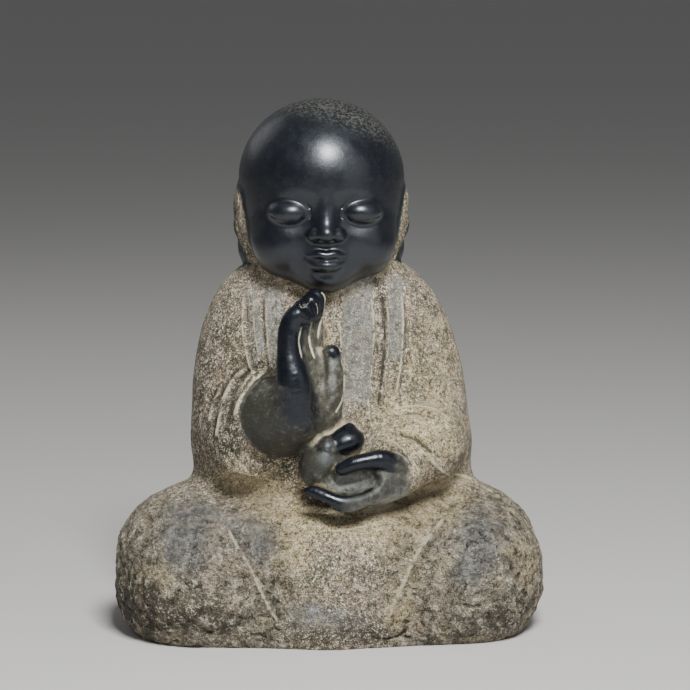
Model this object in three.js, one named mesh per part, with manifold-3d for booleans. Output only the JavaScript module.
// A small seated monk child carved from one block of stone: a bald head with long ears, a robe over
// crossed legs, the right hand raised beside the chest and the left hand open in the lap.
// Millimetres, +Z up. The figure looks along -Y and stands on the plane z = 0, the origin at the
// middle of its underside. Left and right in the names are those of someone facing the figure.
import * as THREE from "three";
import { mergeVertices } from "three/addons/utils/BufferGeometryUtils.js";
import Module from "manifold-3d";

const wasm = await Module();
wasm.setup();

// ---------------------------------------------------------------- driving dimensions

const HEIGHT = 200; // floor to crown
const BREADTH = 1.025; // how much broader the finished figure is than the widths drawn below
const KNEE_REACH = 79; // centre line to the outside of a knee
const KNEE_CENTRE = { x: 45, y: -10, z: 20.5 };
const KNEE_DEPTH = 44; // half the depth of a knee
const KNEE_RISE = 31; // from its middle to its top
const TRUNK_HALF_WIDTH = 52;
const TRUNK_HALF_DEPTH = 34;
const TRUNK_CENTRE = { x: 2.2, y: 6, z: 60 }; // the level where the trunk is widest
const TRUNK_LEAN = -0.04; // sideways drift for each millimetre of height
const SHOULDER_TOP = 142;
const HEAD_HEIGHT = 70; // chin to crown
const HEAD_HALF_WIDTH = 30.5;
const HEAD_CENTRE_X = -2;
const CHIN = HEIGHT - HEAD_HEIGHT;
const CHISEL = 1.6; // radius of the round-nosed chisel that cut the robe's lines
const CHISEL_STEP = 9; // length of one straight stretch of a cut
const CHISEL_SIDES = 4; // facets round a cut
const CHISEL_ENDS = 0.6; // share of its radius that a cut keeps at its two ends
const FINE_CHISEL = 1; // radius of the chisel for the eyes
const FILLET = { legs: 11, robe: 7, head: 9, raisedHand: 5, lapHand: 4 }; // where shapes melt together
const FACETS = { legs: [42, 15], robe: [33, 20], head: [27, 18], raisedHand: [24, 15], lapHand: [20, 12] };
const EAR_FACETS = [8, 6];
const COLLAR = { halfWidth: 24, halfDepth: 21, y: 2, z: 135, steps: 6 };

// ---------------------------------------------------------------- points and fields

const at = (x, y, z) => new THREE.Vector3(x, y, z);

const TINY = 1e-9;

/** Distance to an ellipsoid, near enough close to its surface. */
function ellipsoid(centre, radii) {
  return (p) => {
    const q = p.clone().sub(centre).divide(radii);
    const slope = q.clone().divide(radii).length();
    const reach = q.length();
    return slope < TINY ? -radii.x : (reach * (reach - 1)) / slope;
  };
}

/** An ellipsoid with fuller corners: its plan has the power `plan`, its upright section `rise`. */
function cushion(centre, radii, { plan, rise }) {
  return (p) => {
    const q = p.clone().sub(centre).divide(radii);
    const round = Math.pow(Math.abs(q.x), plan) + Math.pow(Math.abs(q.y), plan);
    const whole = Math.pow(Math.pow(round, rise / plan) + Math.pow(Math.abs(q.z), rise), 1 / rise);
    const away = p.distanceTo(centre);
    return whole < TINY ? -away : away * (1 - 1 / whole);
  };
}

/** The trunk: straight below its centre, and a dome with broad shoulders above it. */
function dome(centre, halfWidth, halfDepth, rise, lean, { plan, shoulder, crown }) {
  return (p) => {
    const up = p.z - centre.z;
    const across = p.x - centre.x - lean * up;
    const x = Math.abs(across) / halfWidth;
    const y = Math.abs(p.y - centre.y) / halfDepth;
    const z = Math.max(0, up) / rise;
    const round = Math.pow(Math.pow(x, plan) + Math.pow(y, plan), shoulder / plan);
    const whole = round + Math.pow(z, crown);
    const away = Math.hypot(across, p.y - centre.y, Math.max(0, up));
    return whole < TINY ? -halfDepth : away * (1 - Math.pow(whole, -1 / shoulder));
  };
}

/** A straight round limb from a to b, with a radius at each end. */
function limbField(a, b, startRadius, endRadius) {
  const along = b.clone().sub(a);
  return (p) => {
    const share = THREE.MathUtils.clamp(p.clone().sub(a).dot(along) / along.lengthSq(), 0, 1);
    const radius = THREE.MathUtils.lerp(startRadius, endRadius, share);
    return p.distanceTo(a.clone().addScaledVector(along, share)) - radius;
  };
}

/** Several fields melted into one, with a fillet of about `round`. */
function melt(round, ...fields) {
  return (p) =>
    fields
      .map((field) => field(p))
      .reduce((a, b) => {
        const h = Math.max(round - Math.abs(a - b), 0) / round;
        return Math.min(a, b) - (h * h * round) / 4;
      });
}

// ---------------------------------------------------------------- surfaces

const LONGEST_RAY = 130;
const RAY_STEPS = 90;
const RAY_STRIDE = 0.7; // share of the distance left that one step covers
const ON_SURFACE = 0.005;
const CAP_RINGS = 2; // rings of facets in a limb's round end
const SAME_POINT = 1e-4; // vertices closer than this are one

/** Walks from `start` along `direction` until the field's surface is met. */
function meet(field, start, direction) {
  const point = start.clone();
  for (let step = 0; step < RAY_STEPS; step += 1) {
    const gap = field(point);
    if (gap < ON_SURFACE) break;
    point.addScaledVector(direction, gap * RAY_STRIDE);
  }
  return point;
}

/** A sphere's mesh shrunk from outside onto a field, along rays to `centre` spread like `spread`. */
function skin(field, centre, spread, columns, rows) {
  const geometry = new THREE.SphereGeometry(1, columns, rows).rotateX(Math.PI / 2);
  const position = geometry.attributes.position;
  const ray = new THREE.Vector3();
  for (let i = 0; i < position.count; i += 1) {
    ray.fromBufferAttribute(position, i).multiply(spread).normalize();
    const start = centre.clone().addScaledVector(ray, LONGEST_RAY);
    const met = meet(field, start, ray.clone().negate());
    position.setXYZ(i, met.x, met.y, met.z);
  }
  return geometry;
}

/** A round-ended limb bent along `points`, its radius running through `radii`. */
function bentLimb(points, radii, sides = 8, rings = 5) {
  const path = new THREE.CatmullRomCurve3(points);
  const length = path.getLength();
  const frames = path.computeFrenetFrames(rings);
  const geometry = new THREE.CapsuleGeometry(1, length, CAP_RINGS, sides, rings);
  const position = geometry.attributes.position;
  for (let i = 0; i < position.count; i += 1) {
    const y = position.getY(i);
    const share = THREE.MathUtils.clamp(y / length + 0.5, 0, 1);
    const past = Math.sign(y) * Math.max(0, Math.abs(y) - length / 2);
    const place = share * (radii.length - 1);
    const before = Math.min(Math.floor(place), radii.length - 2);
    const radius = THREE.MathUtils.lerp(radii[before], radii[before + 1], place - before);
    const ring = Math.round(share * rings);
    const point = path
      .getPointAt(share)
      .addScaledVector(frames.tangents[ring], past * radius)
      .addScaledVector(frames.normals[ring], position.getX(i) * radius)
      .addScaledVector(frames.binormals[ring], -position.getZ(i) * radius);
    position.setXYZ(i, point.x, point.y, point.z);
  }
  return geometry;
}

/** A three.js geometry as a manifold-3d solid. */
function solid(geometry) {
  const bare = new THREE.BufferGeometry().setAttribute("position", geometry.attributes.position);
  bare.setIndex(geometry.index);
  const merged = mergeVertices(bare, SAME_POINT);
  const corners = [];
  for (let i = 0; i < merged.index.count; i += 3) {
    const [a, b, c] = [0, 1, 2].map((k) => merged.index.getX(i + k));
    if (a !== b && b !== c && c !== a) corners.push(a, b, c);
  }
  return new wasm.Manifold(
    new wasm.Mesh({
      numProp: 3,
      vertProperties: merged.attributes.position.array,
      triVerts: new Uint32Array(corners),
    }),
  );
}

const joined = (...solids) => solids.reduce((a, b) => a.add(b));
const limb = (points, radii, sides, rings) => solid(bentLimb(points, radii, sides, rings));

const FRONT = -LONGEST_RAY;
const BACK = LONGEST_RAY;

/** The path of a tool over a field's front or back, sunk by `depth`, through [x, z] places. */
function traced(field, places, side, depth) {
  const inward = at(0, -Math.sign(side), 0);
  const line = new THREE.CatmullRomCurve3(places.map(([x, z]) => at(x, side, z)));
  const steps = Math.ceil(line.getLength() / CHISEL_STEP);
  return line.getSpacedPoints(steps).map((p) => meet(field, p, inward).addScaledVector(inward, depth));
}

/** What a round-nosed chisel of `radius` takes out along `points`, fading at both ends. */
const chiselCut = (points, radius = CHISEL) =>
  limb(
    points,
    [radius * CHISEL_ENDS, radius, radius, radius * CHISEL_ENDS],
    CHISEL_SIDES,
    points.length - 1,
  );

// ---------------------------------------------------------------- legs and seat

const knee = (side) =>
  cushion(
    at(side * KNEE_CENTRE.x, KNEE_CENTRE.y, KNEE_CENTRE.z),
    at(KNEE_REACH - KNEE_CENTRE.x, KNEE_DEPTH, KNEE_RISE),
    { plan: 2.2, rise: 2.3 },
  );

const thigh = (side) => limbField(at(side * 40, -4, 41), at(side * 54, -8, 34), 17, 17);

const legsField = melt(
  FILLET.legs,
  knee(-1),
  knee(1),
  thigh(-1),
  thigh(1),
  cushion(at(0, -9, 16), at(50, 45, 34), { plan: 2.6, rise: 2.6 }), // the robe between the knees
  cushion(at(0, 14, 18), at(58, 34, 36), { plan: 2.4, rise: 2.4 }), // the seat
  ellipsoid(at(1, -16, 30), at(50, 38, 25)), // the lap
);

/** The end of the robe between the feet, a small bump parted by a cut. */
function robeEnd() {
  const bump = solid(
    new THREE.SphereGeometry(1, 14, 8).rotateX(Math.PI / 2).scale(14, 10, 14).translate(-1, -44.5, 8),
  );
  const parting = limb([at(4.5, -55, 12), at(5.2, -56, 6), at(4.8, -56, -3)], [0.3, 1.4, 2.4], 6, 4);
  return { bump, parting };
}

const legs = () => solid(skin(legsField, at(0, -6, 22), at(1.9, 1.1, 0.8), ...FACETS.legs));

// ---------------------------------------------------------------- trunk and sleeves

const trunkField = melt(
  FILLET.robe,
  dome(
    TRUNK_CENTRE,
    TRUNK_HALF_WIDTH,
    TRUNK_HALF_DEPTH,
    SHOULDER_TOP - TRUNK_CENTRE.z,
    TRUNK_LEAN,
    { plan: 2.3, shoulder: 3.3, crown: 2.6 },
  ),
  ellipsoid(at(0, -9, 68), at(36, 29, 26)), // the belly
  limbField(at(-32, -2, 72), at(-31.5, -19, 74), 16, 14), // the raised arm's sleeve
  limbField(at(-31.5, -19, 74), at(-27, -27, 80), 14, 13.5),
  limbField(at(36, -6, 70), at(35, -23, 72.5), 16, 14), // the lap arm's sleeve
  limbField(at(35, -23, 72.5), at(27, -32, 69), 14, 11.5),
);

const trunk = () => solid(skin(trunkField, at(1, 2, 84), at(1, 0.8, 1.3), ...FACETS.robe));

/** The turned-out lip of the sleeve where the raised wrist leaves it. */
const cuff = () =>
  limb(
    [at(-22, -28, 102), at(-28, -33, 97.5), at(-32.5, -36, 91), at(-34, -37, 84)],
    [1.2, 2.2, 2.2, 1.2],
    6,
    6,
  );

/** The hem of the same sleeve, hanging under the forearm. */
const hem = () => limb([at(-19, -30, 67), at(-28, -32, 65), at(-36, -29, 66)], [2, 3.5, 3], 8, 4);

/** Upright chisel lines: the edges of the stole on both sides of the chest. */
const STOLE_LINES = [
  [[16.2, 129], [16.8, 116], [16.2, 104], [14.4, 90]],
  [[19.2, 130], [20, 116], [19.2, 102], [16.6, 84]],
  [[27.6, 130], [28, 117], [27.2, 104], [25, 90]],
  [[-30, 128], [-30.2, 114], [-28, 102], [-25.4, 95]],
  [[-24.4, 129], [-24.2, 116], [-23.6, 107], [-21.8, 97]],
];

/** Folds of the two sleeves, over the forearms. */
const SLEEVE_LINES = [
  [[-32, 102], [-38.2, 94], [-42, 84], [-44, 73]],
  [[20.5, 82.6], [26, 84], [33, 84.2], [38.5, 82.4]],
  [[22.5, 78.4], [28.6, 77.2], [33.3, 73.7], [36.5, 70]],
];

/** The robe's hems over the shins, which run in from the knees to the middle of the front. */
const SHIN_LINES = [
  [[-39.4, 46.3], [-30.8, 31.6], [-23.4, 15.8], [-19.4, 9]],
  [[43, 48.6], [31.7, 38.3], [24.5, 25.3], [17, 6]],
];

/** Plain folds on the back of the robe, hung from the shoulders to the seat. */
const BACK_LINES = [
  [[-30, 112], [-22, 90], [-17, 70]],
  [[30, 112], [22, 90], [17, 70]],
];

const CHISEL_DEPTH = 0.4; // how far the chisel's centre runs under the surface

const cutAlong = (field, lines, side) =>
  lines.map((line) => chiselCut(traced(field, line, side, CHISEL_DEPTH)));

const robeLines = () => [
  ...cutAlong(trunkField, [...STOLE_LINES, ...SLEEVE_LINES], FRONT),
  ...cutAlong(trunkField, BACK_LINES, BACK),
  ...cutAlong(legsField, SHIN_LINES, FRONT),
];

/** The robe's rolled collar, a half ring round the back of the neck from ear to ear. */
function collar() {
  const { halfWidth, halfDepth, y, z, steps } = COLLAR;
  const ring = Array.from({ length: steps + 1 }, (_, i) => {
    const turn = (Math.PI * i) / steps;
    return at(HEAD_CENTRE_X + halfWidth * Math.cos(turn), y + halfDepth * Math.sin(turn), z);
  });
  return limb(ring, [2.5, 4, 4.5, 4, 2.5], 6, 10);
}

// ---------------------------------------------------------------- head

// A child's face by the drawing-book rule: the brows halfway up the head, and the eyes, the foot
// of the nose, the mouth and the chin below them at about equal steps.
const BROW = CHIN + HEAD_HEIGHT * 0.5;
const EYE = CHIN + HEAD_HEIGHT * 0.41;
const NOSE_FOOT = CHIN + HEAD_HEIGHT * 0.27;
const MOUTH = CHIN + HEAD_HEIGHT * 0.175;
const EYE_SPREAD = HEAD_HALF_WIDTH * 0.4;
const EYE_HALF_WIDTH = HEAD_HALF_WIDTH / 5;

const cheek = (side) => ellipsoid(at(side * 13.5, -17.5, MOUTH + 4), at(11.5, 11, 10.5));

const headField = melt(
  FILLET.head,
  ellipsoid(at(0, 1, 170), at(HEAD_HALF_WIDTH, 33, 30)), // the skull
  ellipsoid(at(0, -4, 152), at(26.5, 27, 21.5)), // the jaw
  cheek(-1),
  cheek(1),
  ellipsoid(at(0, -23.5, MOUTH - 5.5), at(9.5, 8, 7)), // the chin
  limbField(at(0, 5, 150), at(0, 5, 132), 19, 19), // the neck
);

/** A point on the front of the head, raised by `lift`. */
const onFace = (x, z, lift = 0) => meet(headField, at(x, FRONT, z), at(0, 1, 0)).add(at(0, -lift, 0));

/** One closed eye: the lid as a low mound whose poles are the eye's corners. */
function eye(side) {
  const middle = onFace(side * EYE_SPREAD, EYE + 0.8, -2.4);
  const mound = new THREE.SphereGeometry(1, 12, 8).rotateZ(Math.PI / 2);
  return solid(mound.scale(EYE_HALF_WIDTH, 4, 3.6).translate(middle.x, middle.y, middle.z));
}

/** The lashes' line, a shallow bow cut under the lid. */
function lashLine(side) {
  const bow = [-1, -0.4, 0.4, 1].map((place) => {
    const fall = 1 - place * place; // from the corners to the middle of the bow
    return onFace(side * EYE_SPREAD + place * EYE_HALF_WIDTH, EYE - 0.3 - 0.9 * fall, 1.4 * fall);
  });
  return chiselCut(bow, FINE_CHISEL);
}

function nose() {
  const ridge = [onFace(0, BROW - 6, -2), onFace(0, EYE - 2, -1), onFace(0, NOSE_FOOT + 3, 0.8)];
  const wing = (side) => [onFace(side * 2, NOSE_FOOT + 2.4, 0), onFace(side * 3.6, NOSE_FOOT + 2, -0.4)];
  return joined(
    limb(ridge, [1.6, 2.2, 3], 8, 5),
    ...[-1, 1].map((side) => limb(wing(side), [2, 1.8], 8, 1)),
  );
}

/** One lip: `rise` lifts its corners above or drops them below its middle. */
const lip = (z, rise, thickness) =>
  limb(
    [onFace(-6, z + rise, -0.6), onFace(0, z, 0.2), onFace(6, z + rise, -0.6)],
    [0.6, thickness, 0.6],
    8,
    5,
  );

/** A long ear: the shell, its front edge, its looped rim, and the lobe that hangs to the collar. */
function ear(side) {
  const middle = at(side * 27.2, 4.4, 151.5);
  const shell = skin(ellipsoid(middle, at(3.4, 6.4, 9.4)), middle, at(1, 1, 1.6), ...EAR_FACETS);
  const front = [at(29.2, -3, 161), at(27.6, -4, 154), at(26.4, -3, 146.5), at(25.6, -1, 138)];
  const rim = [at(29.6, -0.8, 154.6), at(31, 0.8, 153.6), at(30.8, 1.2, 149.6), at(27.6, -0.4, 145)];
  const lobe = [at(28.2, 4.2, 147), at(27.6, 3.4, 142), at(25.6, 2.6, 136.5)];
  const placed = (points) => points.map((p) => at(side * p.x, p.y, p.z));
  return joined(
    solid(shell),
    limb(placed(front), [1, 1.2, 1.3, 1.4], 5, 4),
    limb(placed(rim), [1, 1.1, 1.1, 1], 5, 4),
    limb(placed(lobe), [2.6, 3.2, 3], 7, 3),
  );
}

function head() {
  const bare = solid(skin(headField, at(0, 1, 160), at(1, 1, 1.15), ...FACETS.head));
  const face = joined(eye(-1), eye(1), nose(), lip(MOUTH + 1.3, 0.2, 1.6), lip(MOUTH - 1.8, 1.2, 2));
  const features = joined(bare, face, ear(-1), ear(1));
  return features.subtract(joined(lashLine(-1), lashLine(1))).translate([HEAD_CENTRE_X, 0, 0]);
}

// ---------------------------------------------------------------- hands

const FINGERS = 4;

/** The raised hand, seen on its little-finger edge, with the palm turned to the right. */
function raisedHand() {
  const heel = melt(
    FILLET.raisedHand,
    ellipsoid(at(-17.6, -34.5, 85), at(15.6, 14.5, 14.8)),
    limbField(at(-14.3, -44.5, 87), at(-14.4, -48.2, 97.5), 9.2, 6.8),
    limbField(at(-14.4, -48.2, 97.5), at(-15.8, -47.8, 106), 6.8, 4.8),
    limbField(at(-12, -40, 88), at(-6, -36, 106), 10, 6),
  );
  // From the little finger, which is nearest and lowest, to the index finger by the chest.
  const fingers = Array.from({ length: FINGERS }, (_, n) => {
    const share = n / (FINGERS - 1);
    const between = (near, far) => near.clone().lerp(far, share);
    const path = [
      between(at(-15.9, -49.5, 100), at(-7.6, -33, 104)),
      between(at(-16.3, -47.4, 110), at(-7.4, -34, 113)),
      between(at(-16, -45.8, 118), at(-7.2, -34.6, 122)),
      between(at(-13.6, -46, 123.2), at(-5.8, -35.4, 128.6)),
      between(at(-10.6, -46.6, 122), at(-5.2, -37.2, 123.5)),
    ];
    return limb(path, [4.4, 4.1, 3.9, 3.8, 2.4], 7, 5);
  });
  const knuckles = limb([at(-13.2, -45.4, 120.5), at(-6.2, -35.8, 124.5)], [3.6, 3.6], 7, 1);
  const hollow = new THREE.SphereGeometry(1, 12, 8).scale(4, 5, 10).translate(-3.8, -48, 102);
  const thumbPath = [at(-6, -33, 82), at(-1.6, -37.4, 90), at(-0.2, -39.2, 99), at(-0.7, -40.4, 108.6)];
  const thumb = limb(thumbPath, [8.5, 5.4, 4.1, 3.2], 7, 5);
  const full = solid(skin(heel, at(-14, -39, 93), at(1, 1, 1.3), ...FACETS.raisedHand));
  const palm = full.subtract(solid(hollow));
  const backing = limb([at(-9, -22, 92), at(-9, -25, 108), at(-9, -27, 121)], [11, 8, 5], 8, 3);
  return joined(palm, thumb, backing, knuckles, ...fingers);
}

/** The open hand in the lap: a cupped palm with its rim, and the thumb and knuckle laid over it. */
function lapHand() {
  const palm = melt(
    FILLET.lapHand,
    ellipsoid(at(12, -38, 61), at(18.5, 13, 9.4)),
    ellipsoid(at(-3.8, -41, 66), at(8.2, 8.4, 9.2)),
    limbField(at(32, -28, 67.5), at(23, -36, 65), 9.5, 8.6),
  );
  const hollow = new THREE.SphereGeometry(1, 14, 8).scale(10.4, 7.6, 5.6).translate(6.2, -51.5, 63.4);
  const rim = [
    at(23, -41, 63.5),
    at(12.4, -50, 57.4),
    at(2, -51.8, 54.7),
    at(-3, -51, 56.6),
    at(-9.8, -49.4, 58.8),
  ];
  const thumb = [at(27, -38, 63.5), at(17.2, -46.4, 69.6), at(12, -48, 69.6), at(2.8, -48.6, 66.8)];
  const knuckle = [at(-3, -41.5, 73), at(2, -40, 75), at(4.6, -38.6, 78)];
  return joined(
    solid(skin(palm, at(10, -40, 63), at(1.5, 1, 0.8), ...FACETS.lapHand)).subtract(solid(hollow)),
    limb(rim, [2.8, 3, 3.3, 2.9, 1.6], 7, 8),
    limb(thumb, [4.2, 4.4, 3.4, 2.7], 7, 6),
    limb(knuckle, [4.4, 6, 4], 8, 4),
  );
}

// ---------------------------------------------------------------- the whole figure

function figure() {
  const { bump, parting } = robeEnd();
  const robe = joined(legs(), trunk(), collar(), cuff(), hem(), bump);
  const cut = robe.subtract(joined(parting, ...robeLines()));
  const whole = joined(cut, head(), raisedHand(), lapHand());
  const ground = new THREE.BoxGeometry(4 * HEIGHT, 4 * HEIGHT, HEIGHT).translate(0, 0, -HEIGHT / 2);
  return whole.subtract(solid(ground)).scale([BREADTH, 1, 1]);
}

function geometryOf(manifold) {
  const mesh = manifold.getMesh();
  return new THREE.BufferGeometry()
    .setAttribute("position", new THREE.BufferAttribute(mesh.vertProperties, 3))
    .setIndex(new THREE.BufferAttribute(mesh.triVerts, 1));
}

const WARM_GREY = 0x8f8168;
const stone = new THREE.MeshStandardMaterial({ color: WARM_GREY, roughness: 0.85, metalness: 0 });
const statue = new THREE.Mesh(geometryOf(figure()), stone);
statue.name = "statue";

// The origin is the middle of the underside's box.
statue.geometry.computeBoundingBox();
const middle = statue.geometry.boundingBox.getCenter(new THREE.Vector3());
statue.position.set(-middle.x, -middle.y, 0);

const part = new THREE.Group();
part.add(statue);

export default part;
